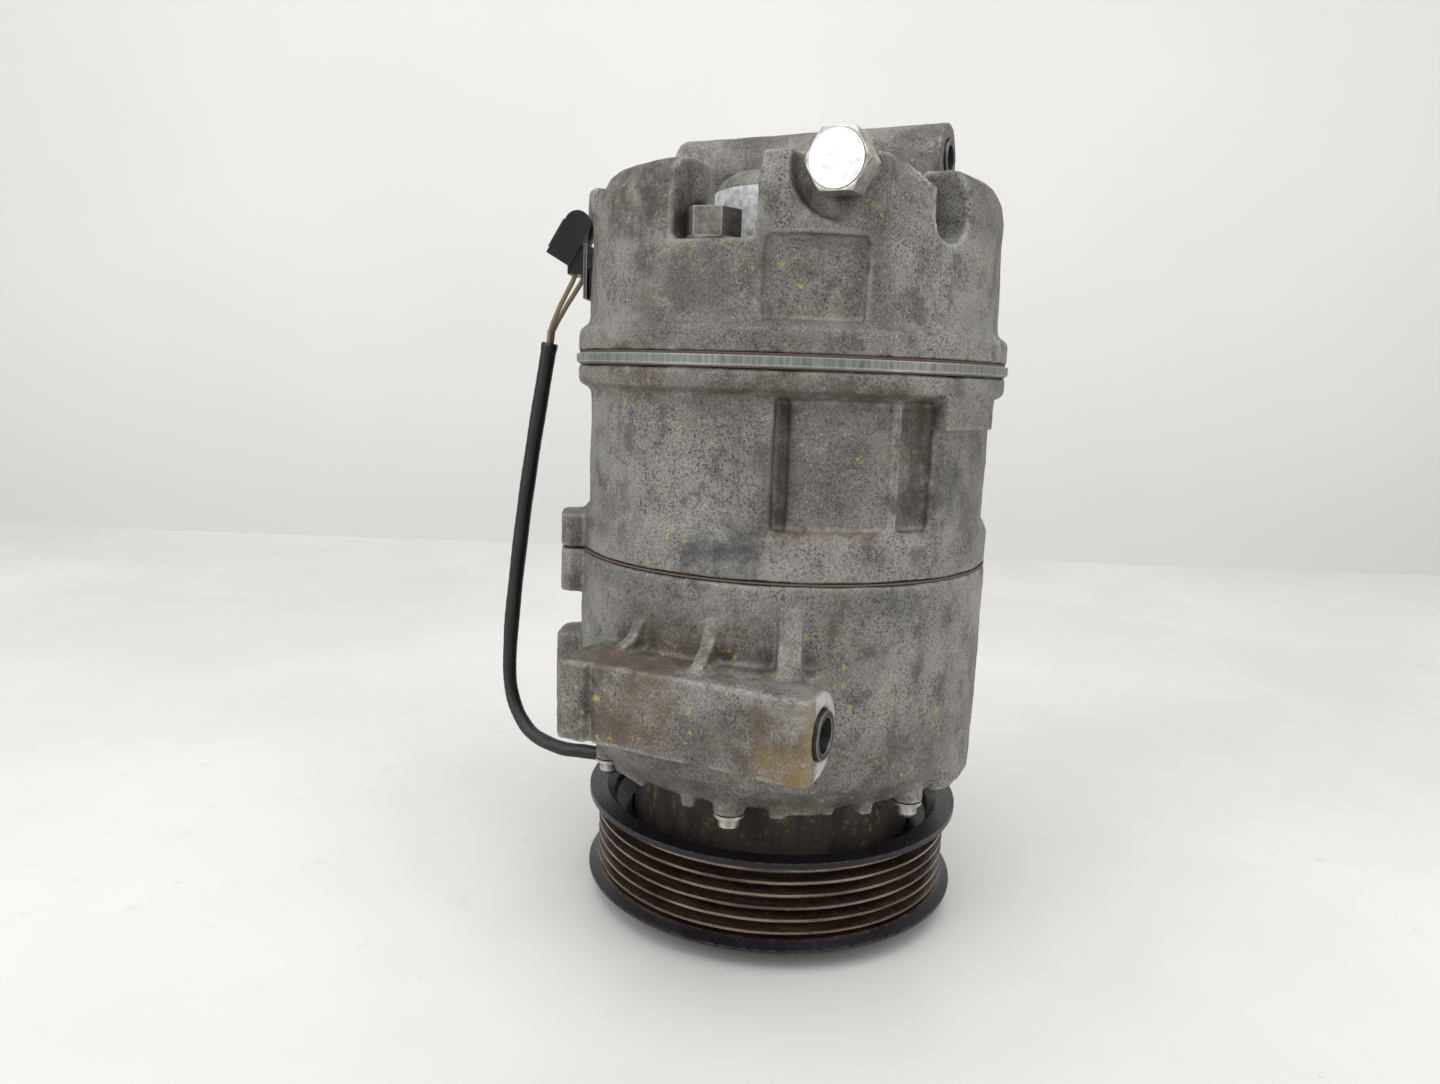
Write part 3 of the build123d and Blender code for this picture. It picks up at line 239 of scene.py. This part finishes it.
def cast_aluminium(name, seed, tone=1.0, stains=(), machined=()):
    """Dirty sand-cast aluminium: speckled grey skin, blotches, pale edges (wear and painted
    highlight), stains.
    """
    s = Shader(name)
    mottled = s.noise(120.0, 6.0, 0.72, seed=seed + 3)
    fine = s.noise(520.0, 6.0, 0.8, seed=seed + 5)
    dark_grain = s.noise(1650.0, 5.0, 0.8, seed=seed + 7)
    base = cast_skin(s, seed, tone, mottled)
    base = cast_grain(s, seed, base, fine, dark_grain)
    base = cast_dirt_and_shade(s, seed, base, mottled, fine, stains)
    # pale edges: wear together with a painted highlight along the convex edges
    edge = s.edges(0.0018, 0.88, 0.992)
    edge = s.math("MULTIPLY", edge, s.ramp(mottled, 0.64, 0.44))
    base = s.mix(s.math("MULTIPLY", edge, 0.75), base, cast_tints["rubbed_and_highlight"])
    rough = s.ramp(fine, 0.2, 0.8, 0.44, 0.66)
    for low, high in machined:
        mask = s.math("MULTIPLY", s.box_mask(low, high, machined_fade),
                      s.ramp(mottled, 0.60, 0.50))
        base = s.mix(s.math("MULTIPLY", mask, 0.8), base, cast_tints["machined"])
        rough = s.math("SUBTRACT", rough, s.math("MULTIPLY", mask, 0.2))
    height = s.math("ADD", s.math("MULTIPLY", fine, 0.8), s.math("MULTIPLY", dark_grain, -0.35))
    height = s.math("ADD", height, s.math("MULTIPLY", mottled, 0.9))
    return s.finish(base, rough, cast_metallic, s.bump(height, 0.75, 0.0005))


def bare_steel(name, color, seed, rough=0.32, grime=0.5, metallic=0.95, brushed=None, spread=0.3):
    """Ground or plated steel with fine marks, and grime with painted shade in its corners."""
    s = Shader(name)
    vector = s.stretched(brushed) if brushed else s.coords
    lines = s.noise(500.0, 3.0, 0.6, vector=vector, seed=seed)
    spots = s.noise(220.0, 5.0, 0.7, seed=seed + 2)
    dark = tuple(c * 0.55 for c in color)
    base = s.mix(s.ramp(lines, 0.3, 0.7), dark, color)
    base = s.mix(s.ramp(spots, 0.52, 0.72, 0.0, grime), base, (0.10, 0.08, 0.06))
    # painted shade: corners and crevices darkened by ambient occlusion, together with grime
    grime_and_shade = s.hollow(0.004, 0.4, 0.95)
    base = s.mix(s.math("MULTIPLY", grime_and_shade, 0.7), base, (0.06, 0.048, 0.038))
    edge = s.edges(0.0006, 0.9, 0.995)
    base = s.mix(s.math("MULTIPLY", edge, 0.5), base, (0.75, 0.74, 0.72))
    roughness = s.ramp(spots, 0.35, 0.7, rough, min(1.0, rough + spread))
    normal = s.bump(s.math("ADD", lines, spots), 0.3, 0.00012)
    return s.finish(base, roughness, metallic, normal)


def soft_black(name, color, seed, rough=0.45, dust=0.3):
    """Moulded rubber or plastic with dust and slight scuffing."""
    s = Shader(name)
    broad = s.noise(60.0, 4.0, 0.6, seed=seed)
    fine = s.noise(900.0, 3.0, 0.6, seed=seed + 1)
    base = s.mix(s.ramp(broad, 0.45, 0.75, 0.0, dust), color, tuple(c * 2.2 + 0.02 for c in color))
    base = s.mix(s.ramp(fine, 0.60, 0.75, 0.0, dust), base, (0.16, 0.15, 0.13))
    edge = s.edges(0.0005, 0.88, 0.99)
    base = s.mix(s.math("MULTIPLY", edge, 0.35), base, (0.14, 0.14, 0.145))
    roughness = s.ramp(broad, 0.3, 0.7, rough, rough + 0.2)
    normal = s.bump(fine, 0.25, 0.0001)
    return s.finish(base, roughness, 0.0, normal)


def pulley_paint(name):
    """Black coated pulley; the belt has worn the grooves back to brown steel, and the rib crests are
    painted with a highlight over the worn steel.
    """
    s = Shader(name)
    split = s.add("ShaderNodeSeparateXYZ")
    s.link(s.coords, split.inputs[0])
    across = s.math("SQRT", s.math("ADD", s.math("POWER", split.outputs[0], 2.0),
                                   s.math("POWER", split.outputs[1], 2.0)))
    height = split.outputs[2]
    in_band = s.math("MULTIPLY", s.ramp(height, *band_bottom), s.ramp(height, *band_top))
    outside = s.math("MULTIPLY", s.ramp(across, *groove_root), s.ramp(across, *groove_rim))
    groove = s.math("MULTIPLY", in_band, outside)
    crest = s.math("MULTIPLY", groove, s.ramp(across, *crest_inner))
    crest = s.math("MULTIPLY", crest, s.math("MULTIPLY", s.ramp(height, *first_crest),
                                             s.ramp(across, *crest_outer)))
    broad = s.noise(26.0, 5.0, 0.65, seed=3.0)
    fine = s.noise(700.0, 4.0, 0.7, seed=4.0)
    around = s.noise(60.0, 4.0, 0.6, vector=s.stretched((1, 1, 14)), seed=5.0)
    paint = s.mix(s.ramp(broad, 0.4, 0.7), (0.0065, 0.0055, 0.0085), (0.016, 0.013, 0.021))
    paint = s.mix(s.ramp(fine, 0.62, 0.75, 0.0, 0.25), paint, (0.07, 0.06, 0.065))
    rust = s.mix(s.ramp(around, 0.38, 0.66), (0.026, 0.018, 0.015), (0.085, 0.050, 0.036))
    rust = s.mix(s.ramp(fine, 0.56, 0.68, 0.0, 0.6), rust, (0.13, 0.085, 0.055))
    # rib crests: worn steel with a painted highlight line
    worn_crest_and_highlight = s.mix(s.ramp(around, 0.38, 0.62), (0.095, 0.064, 0.050), (0.29, 0.235, 0.19))
    color = s.mix(groove, paint, rust)
    color = s.mix(crest, color, worn_crest_and_highlight)
    # pale rims along the edges: painted highlight
    edge = s.edges(0.0006, 0.90, 0.995)
    color = s.mix(s.math("MULTIPLY", s.math("MULTIPLY", edge, s.ramp(fine, 0.45, 0.6)), 0.35),
                  color, (0.25, 0.22, 0.22))
    spot = s.box_mask(*red_spot, 0.0007)
    spot = s.math("MULTIPLY", spot, s.ramp(fine, 0.40, 0.55))
    color = s.mix(s.math("MULTIPLY", spot, 0.9), color, (0.22, 0.025, 0.018))
    rough = s.ramp(fine, 0.3, 0.7, 0.24, 0.42)
    metal = s.math("ADD", s.math("MULTIPLY", groove, 0.5), 0.05)
    normal = s.bump(s.math("ADD", s.math("MULTIPLY", fine, 0.5), broad), 0.25, 0.0002)
    return s.finish(color, rough, metal, normal, Specular_IOR_Level=0.35)


def stained_cup(name):
    """Dark coil housing with streaks of yellow grime."""
    s = Shader(name)
    fine = s.noise(500.0, 5.0, 0.7, seed=1.0)
    streak = s.noise(150.0, 4.0, 0.6, vector=s.stretched((1, 1, 0.35)), seed=2.0)
    blot = s.noise(75.0, 3.0, 0.5, seed=8.0)
    base = s.mix(s.ramp(streak, 0.35, 0.65), (0.026, 0.021, 0.019), (0.060, 0.048, 0.040))
    base = s.mix(s.ramp(fine, 0.54, 0.68, 0.0, 0.5), base, (0.12, 0.10, 0.085))
    mask = s.math("MULTIPLY", s.ramp(fine, 0.52, 0.60), s.ramp(blot, 0.46, 0.58))
    mask = s.math("MULTIPLY", mask, s.ramp(streak, 0.42, 0.56))
    base = s.mix(s.math("MULTIPLY", mask, 0.7), base, (0.26, 0.18, 0.045))
    return s.finish(base, s.ramp(fine, 0.3, 0.7, 0.5, 0.8), 0.2, s.bump(fine, 0.4, 0.0003))


oil = (0.085, 0.052, 0.028)
brown = (0.120, 0.075, 0.038)
ochre = (0.30, 0.20, 0.055)
housing_stains = (
    ((-0.030, -0.0785, 0.0815), (0.002, -0.0600, 0.0865), oil, 0.75),
    ((-0.022, -0.0785, 0.0630), (-0.0165, -0.0740, 0.0850), (0.045, 0.032, 0.022), 0.75),
    ((-0.016, -0.0785, 0.0650), (0.004, -0.0745, 0.0830), brown, 0.70),
    ((0.004, -0.0785, 0.0660), (0.022, -0.0745, 0.0760), oil, 0.45),
    ((0.0230, -0.0785, 0.0625), (0.0395, -0.0745, 0.0810), (0.095, 0.060, 0.030), 0.90),
    ((0.0260, -0.0785, 0.0625), (0.0395, -0.0745, 0.0715), (0.24, 0.155, 0.040), 0.75),
    ((-0.0320, -0.0785, 0.0625), (-0.0080, -0.0745, 0.0720), (0.060, 0.045, 0.032), 0.70),
    ((0.0380, -0.0780, 0.0620), (0.0410, -0.0722, 0.0850), ochre, 0.85),
    ((-0.050, -0.0600, 0.0400), (0.050, -0.0350, 0.0500), oil, 0.45),
    ((-0.022, -0.0700, 0.0850), (0.030, -0.0560, 0.0950), oil, 0.45),
    ((0.0325, -0.0520, 0.0620), (0.0350, -0.0470, 0.1000), oil, 0.55),
)
block_stains = (
    ((0.0440, -0.0420, 0.1175), (0.0530, -0.0240, 0.1520), (0.050, 0.034, 0.022), 0.9),
    # darker strip down the groove at about 20 degrees
    ((0.0175, -0.0560, 0.1180), (0.0230, -0.0480, 0.1500), (0.060, 0.042, 0.028), 0.75),
    ((0.0200, -0.0600, 0.1160), (0.0450, -0.0380, 0.1200), brown, 0.55),
    ((-0.040, -0.0620, 0.1500), (0.0500, -0.0300, 0.1575), oil, 0.50),
    ((-0.0050, -0.0620, 0.1040), (0.0160, -0.0500, 0.1200), (0.040, 0.042, 0.052), 0.60),
)
head_stains = (
    ((-0.034, -0.0600, 0.1900), (-0.0100, -0.0350, 0.2110), (0.045, 0.038, 0.032), 0.80),
    ((-0.024, -0.0600, 0.1700), (0.0080, -0.0540, 0.1890), (0.060, 0.055, 0.050), 0.35),
    ((0.0120, -0.0600, 0.1620), (0.0140, -0.0520, 0.1900), (0.05, 0.04, 0.03), 0.6),
    ((0.0360, -0.0500, 0.1680), (0.0400, -0.0400, 0.1960), (0.05, 0.04, 0.03), 0.5),
)

looks = {
    "cast_aluminium": cast_aluminium("cast_aluminium", 2.0),
    "black_steel": pulley_paint("pulley_paint"),
    "bearing_steel": bare_steel("bearing_steel", (0.55, 0.55, 0.56), 3.0, 0.22, 0.2),
    "plated_steel": bare_steel("plated_steel", (0.56, 0.55, 0.50), 5.0, 0.32, 0.55),
    "bolt_steel": bare_steel("bolt_steel", (0.24, 0.225, 0.20), 7.0, 0.48, 0.6, 0.7),
    "spring_steel": bare_steel("spring_steel", (0.38, 0.38, 0.39), 9.0, 0.30, 0.3),
    "coil_steel": stained_cup("coil_steel"),
    "potting": soft_black("potting", (0.025, 0.025, 0.025), 11.0, 0.5),
    "copper_wire": bare_steel("copper_wire", (0.65, 0.32, 0.16), 13.0, 0.35, 0.2),
    "black_rubber": soft_black("black_rubber", (0.0045, 0.0045, 0.005), 15.0, 0.30, 0.12),
    "gasket": soft_black("gasket", (0.110, 0.070, 0.042), 17.0, 0.7),
    "black_plastic": soft_black("black_plastic", (0.008, 0.008, 0.010), 19.0, 0.30, 0.20),
    "wire_cover": soft_black("wire_cover", (0.22, 0.175, 0.105), 21.0, 0.4, 0.3),
    "bush_black": bare_steel("bush_black", (0.05, 0.05, 0.052), 23.0, 0.32, 0.3, 0.8),
    "label": bare_steel("label", (0.82, 0.84, 0.86), 25.0, 0.40, 0.65, 0.0),
    "piston_alloy": bare_steel("piston_alloy", (0.60, 0.60, 0.60), 27.0, 0.3, 0.2),
    "shaft_steel": bare_steel("shaft_steel", (0.50, 0.50, 0.51), 29.0, 0.28, 0.3),
    "iron": bare_steel("iron", (0.20, 0.185, 0.17), 31.0, 0.5, 0.5, 0.8),
    "terminal": bare_steel("terminal", (0.72, 0.66, 0.45), 33.0, 0.3, 0.2),
}
special = {
    "front_housing": cast_aluminium(
        "front_casting", 4.0, 0.98, housing_stains,
        (((0.0386, -0.0722, 0.0625), (0.0410, -0.0560, 0.0860)),)),
    "cylinder_block": cast_aluminium("block_casting", 9.0, 0.96, block_stains),
    "rear_head": cast_aluminium("head_casting", 14.0, 0.96, head_stains),
    "valve_plate": bare_steel("valve_plate_steel", (0.25, 0.27, 0.25), 41.0, 0.42, 0.6, 0.6,
                              (2.2, 2.2, 0.12)),
    "relief_valve_cap": bare_steel("polished_cap", (0.72, 0.73, 0.74), 43.0, 0.24, 0.35, 0.9,
                                   (1.0, 1.0, 1.0), 0.06),
    "connector_bracket": bare_steel("bracket_steel", (0.10, 0.10, 0.10), 45.0, 0.4, 0.3, 0.8),
}
slots = {entry["node"]: entry["material_slot"] for entry in frame["record"]["subparts"]}
for name, obj in nodes.items():
    material = special.get(name) or looks[slots[name]]
    for entry in obj.material_slots:
        entry.material = material


# ------------------------------ cast surfaces ----------------------------------------------
def clouds(name, size, depth):
    texture = bpy.data.textures.new(name, "CLOUDS")
    texture.noise_scale = size
    texture.noise_depth = depth
    return texture


cast_voxel = 0.0007
cast_rounds = 8
wave_height = 0.0007
grit_height = 0.00022
cast_waves = clouds("cast_waves", 0.012, 2)
cast_grit = clouds("cast_grit", 0.0022, 2)


def soften_casting(obj, voxel, rounds):
    """Rounds the edges of a CAD casting and gives its skin the unevenness of sand casting."""
    remesh = obj.modifiers.new("skin", "REMESH")
    remesh.mode = "VOXEL"
    remesh.voxel_size = voxel
    remesh.use_smooth_shade = True
    smooth = obj.modifiers.new("round", "SMOOTH")
    smooth.factor = 0.5
    smooth.iterations = rounds
    for texture, strength in ((cast_waves, wave_height), (cast_grit, grit_height)):
        push = obj.modifiers.new(texture.name, "DISPLACE")
        push.texture = texture
        push.texture_coords = "LOCAL"
        push.strength = strength
        push.mid_level = 0.5


for name in ("front_housing", "cylinder_block", "rear_head"):
    soften_casting(nodes[name], cast_voxel, cast_rounds)


def round_edges(obj, width):
    """Small rounded edges on a CAD solid that was packed with sharp ones."""
    weld = obj.modifiers.new("weld", "WELD")
    weld.merge_threshold = 0.000001
    bevel = obj.modifiers.new("edges", "BEVEL")
    bevel.width = width
    bevel.segments = 2
    bevel.limit_method = "ANGLE"
    bevel.angle_limit = radians(34)
    bevel.use_clamp_overlap = True


for name, width in (("relief_valve_body", 0.0003), ("case_bolts", 0.0004),
                    ("connector_body", 0.0004), ("lug_bushes", 0.0003),
                    ("rear_lug_bushes", 0.0003), ("relief_valve_cap", 0.0002)):
    round_edges(nodes[name], width)


# ------------------------------ coil lead ----------------------------------------------------
def smooth_path(points, steps):
    """Catmull-Rom samples through the given points, in millimetres, returned in metres."""
    points = [Vector(p) / 1000 for p in points]
    ends = [points[0] * 2 - points[1]] + points + [points[-1] * 2 - points[-2]]
    path = []
    for a, b, c, d in zip(ends, ends[1:], ends[2:], ends[3:]):
        for step in range(steps):
            t = step / steps
            path.append(0.5 * (2 * b + (c - a) * t + (2 * a - 5 * b + 4 * c - d) * t * t
                               + (3 * b - a - 3 * c + d) * t * t * t))
    return path + [points[-1]]


def sweep(name, path, rings, material):
    """Tube along path with flat ends; rings(index, angle) gives its radius."""
    sides = 24
    verts, faces = [], []
    normal = Vector((0, 1, 0))
    for index, point in enumerate(path):
        ahead = path[min(index + 1, len(path) - 1)] - path[max(index - 1, 0)]
        ahead.normalize()
        normal = (normal - ahead * normal.dot(ahead)).normalized()
        cross = ahead.cross(normal)
        for k in range(sides):
            angle = 2 * pi * k / sides
            radius = rings(index, angle)
            verts.append(point + (normal * cos(angle) + cross * sin(angle)) * radius)
    for index in range(len(path) - 1):
        for k in range(sides):
            a = index * sides + k
            b = index * sides + (k + 1) % sides
            faces.append((a, b, b + sides, a + sides))
    faces.append(tuple(range(sides - 1, -1, -1)))
    last = (len(path) - 1) * sides
    faces.append(tuple(last + k for k in range(sides)))
    mesh = bpy.data.meshes.new(name)
    mesh.from_pydata([tuple(v) for v in verts], [], faces)
    mesh.materials.append(material)
    mesh.polygons.foreach_set("use_smooth", [True] * len(mesh.polygons))
    obj = bpy.data.objects.new(name, mesh)
    bpy.context.scene.collection.objects.link(obj)
    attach(obj, "case")
    return obj


lead_points = [
    (-71.0, -20.0, 164.0), (-76.6, -20.5, 132.0), (-80.3, -21.5, 104.0), (-82.6, -23.5, 72.0),
    (-80.4, -26.0, 54.0), (-72.0, -28.5, 43.4), (-60.0, -30.0, 40.3), (-50.0, -28.8, 40.2),
    (-42.6, -27.4, 40.2),
]
outer_path = smooth_path(lead_points, 24)
# the open top end is turned in: the path runs up inside and comes back down outside
inside = outer_path[:18][::-1]
sleeve_inner_radius = 0.00178
sleeve_outer_radius = 0.00236


def sleeve_radius(index, angle):
    """Slightly rippled sleeve with a lip at its open end, slimmer towards the coil."""
    if index < len(inside):
        return sleeve_inner_radius
    along = index - len(inside)
    ripple = 0.00003 * sin(along * 1.9) + 0.00004 * sin(along * 0.37 + 2 * angle)
    lip = 0.00012 if along < 2 else 0.0
    slim = 0.00022 * min(1.0, max(0.0, (along - 70) / 12))
    return sleeve_outer_radius + ripple + lip - slim


sleeve = sweep("lead_sleeve_skin", inside + outer_path, sleeve_radius, looks["black_rubber"])
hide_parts("lead_sleeve")


wire_radius = 0.00072
wire_side = 0.82
connector_turn = radians(-68.0)


def wire_exit(shift, height):
    """Where one of the two wires leaves the connector cover, in millimetres."""
    reach = 63.0 - 1.1 * shift
    along = 1.2 - 2.4 * shift
    outward, sideways = sin(connector_turn), cos(connector_turn)
    return Vector((reach * outward + along * sideways, -reach * sideways + along * outward,
                   height))


for number, shift in enumerate((-wire_side, wire_side)):
    top = wire_exit(shift, 184.4)
    above = Vector((-70.3, -19.95 + shift, 167.9))
    middle = wire_exit(shift, 183.0) * 0.5 + above * 0.5 + Vector((-0.7, 0, -0.8))
    points = [top, wire_exit(shift, 182.4), middle, above]
    points += [Vector((x, y + shift, z)) for x, y, z in lead_points[:2]]
    wire = sweep(f"lead_wire_{number + 1}", smooth_path(points, 14),
                 lambda i, a, n=number: wire_radius + 0.00002 * sin(i * 0.8 + n + a),
                 looks["wire_cover"])
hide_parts("lead_wires")


# ------------------------------ floor, light and camera ------------------------------------
def floor_material():
    """Pale worn table top; seen from below it is clear, so that the underside shows."""
    s = Shader("pale_floor")
    broad = s.noise(3.0, 5.0, 0.6, seed=1.0)
    fine = s.noise(90.0, 6.0, 0.7, seed=2.0)
    specks = s.noise(420.0, 3.0, 0.6, seed=6.0)
    base = s.mix(s.ramp(broad, 0.3, 0.7), (0.66, 0.655, 0.64), (0.77, 0.765, 0.755))
    mark = s.math("MULTIPLY", s.ramp(fine, 0.58, 0.72), s.ramp(broad, 0.5, 0.6))
    base = s.mix(s.math("MULTIPLY", mark, 0.35), base, (0.40, 0.37, 0.34))
    base = s.mix(s.ramp(specks, 0.70, 0.76, 0.0, 0.5), base, (0.30, 0.27, 0.24))
    material = s.finish(base, s.ramp(fine, 0.3, 0.7, 0.45, 0.6), 0.0, s.bump(fine, 0.1, 0.0004))
    geometry = s.add("ShaderNodeNewGeometry")
    clear = s.add("ShaderNodeBsdfTransparent")
    choice = s.add("ShaderNodeMixShader")
    s.link(geometry.outputs["Backfacing"], choice.inputs[0])
    s.link(s.bsdf.outputs[0], choice.inputs[1])
    s.link(clear.outputs[0], choice.inputs[2])
    s.link(choice.outputs[0], s.out.inputs[0])
    return material


def plane(name, corners, material):
    mesh = bpy.data.meshes.new(name)
    mesh.from_pydata(corners, [], [(0, 1, 2, 3)])
    mesh.materials.append(material)
    obj = bpy.data.objects.new(name, mesh)
    bpy.context.scene.collection.objects.link(obj)
    return obj


floor_drop = 0.0003
floor_near, floor_far, stage_side = 2.2, -0.62, 4
wall_away, wall_bottom, wall_top = -0.95, -0.6, 3
camera_turn = radians(25.1)
out = Vector((sin(camera_turn), -cos(camera_turn), 0.0))
side = Vector((cos(camera_turn), sin(camera_turn), 0.0))
plane("floor", [tuple(out * a + side * b - Vector((0, 0, floor_drop))) for a, b in
                ((floor_near, -stage_side), (floor_near, stage_side),
                 (floor_far, stage_side), (floor_far, -stage_side))], floor_material())
wall_shader = Shader("pale_wall")
cloud = wall_shader.noise(2.0, 3.0, 0.5, seed=4.0)
wall_color = wall_shader.mix(wall_shader.ramp(cloud, 0.3, 0.7), (0.80, 0.80, 0.79), (0.84, 0.84, 0.83))
plane("backdrop", [tuple(out * wall_away + side * b + Vector((0, 0, c))) for b, c in
                   ((-stage_side, wall_bottom), (stage_side, wall_bottom),
                    (stage_side, wall_top), (-stage_side, wall_top))],
      wall_shader.finish(wall_color, 0.9))

camera_data = bpy.data.cameras.new("camera")
camera_data.sensor_width = 36.0
camera_data.lens = 25.45
camera = bpy.data.objects.new("camera", camera_data)
bpy.context.scene.collection.objects.link(camera)
eye = Vector((0.1124, -0.2837, 0.1551))
look = Vector((-0.419, 0.894, -0.158)).normalized()
roll = radians(2.049)
right = look.cross(Vector((0, 0, 1))).normalized()
up = right.cross(look)
x_axis = right * cos(roll) + up * sin(roll)
y_axis = up * cos(roll) - right * sin(roll)
camera.matrix_world = Matrix.Translation(eye) @ Matrix(
    (x_axis, y_axis, -look)).transposed().to_4x4()
bpy.context.scene.camera = camera


def area(name, place, target, size, power):
    data = bpy.data.lights.new(name, "AREA")
    data.shape = "RECTANGLE"
    data.size, data.size_y = size
    data.energy = power
    lamp = bpy.data.objects.new(name, data)
    bpy.context.scene.collection.objects.link(lamp)
    lamp.location = place
    lamp.rotation_euler = (Vector(target) - Vector(place)).to_track_quat("-Z", "Y").to_euler()


area("top_light", (0.1, -0.35, 1.3), (0, 0, 0.1), (1.6, 1.2), 13.0)
area("left_light", tuple(side * -1.1 + out * 0.7 + Vector((0, 0, 0.7))), (0, 0, 0.12), (1.0, 1.0), 8.0)
area("right_light", tuple(side * 1.0 + out * 0.6 + Vector((0, 0, 0.6))), (0, 0, 0.12), (0.8, 1.0), 5.0)
world = bpy.data.worlds.new("soft_world")
world.use_nodes = True
world.node_tree.nodes["Background"].inputs[0].default_value = (1.0, 0.985, 0.96, 1.0)
world.node_tree.nodes["Background"].inputs[1].default_value = 0.46
bpy.context.scene.world = world
bpy.context.scene.view_settings.view_transform = "Standard"
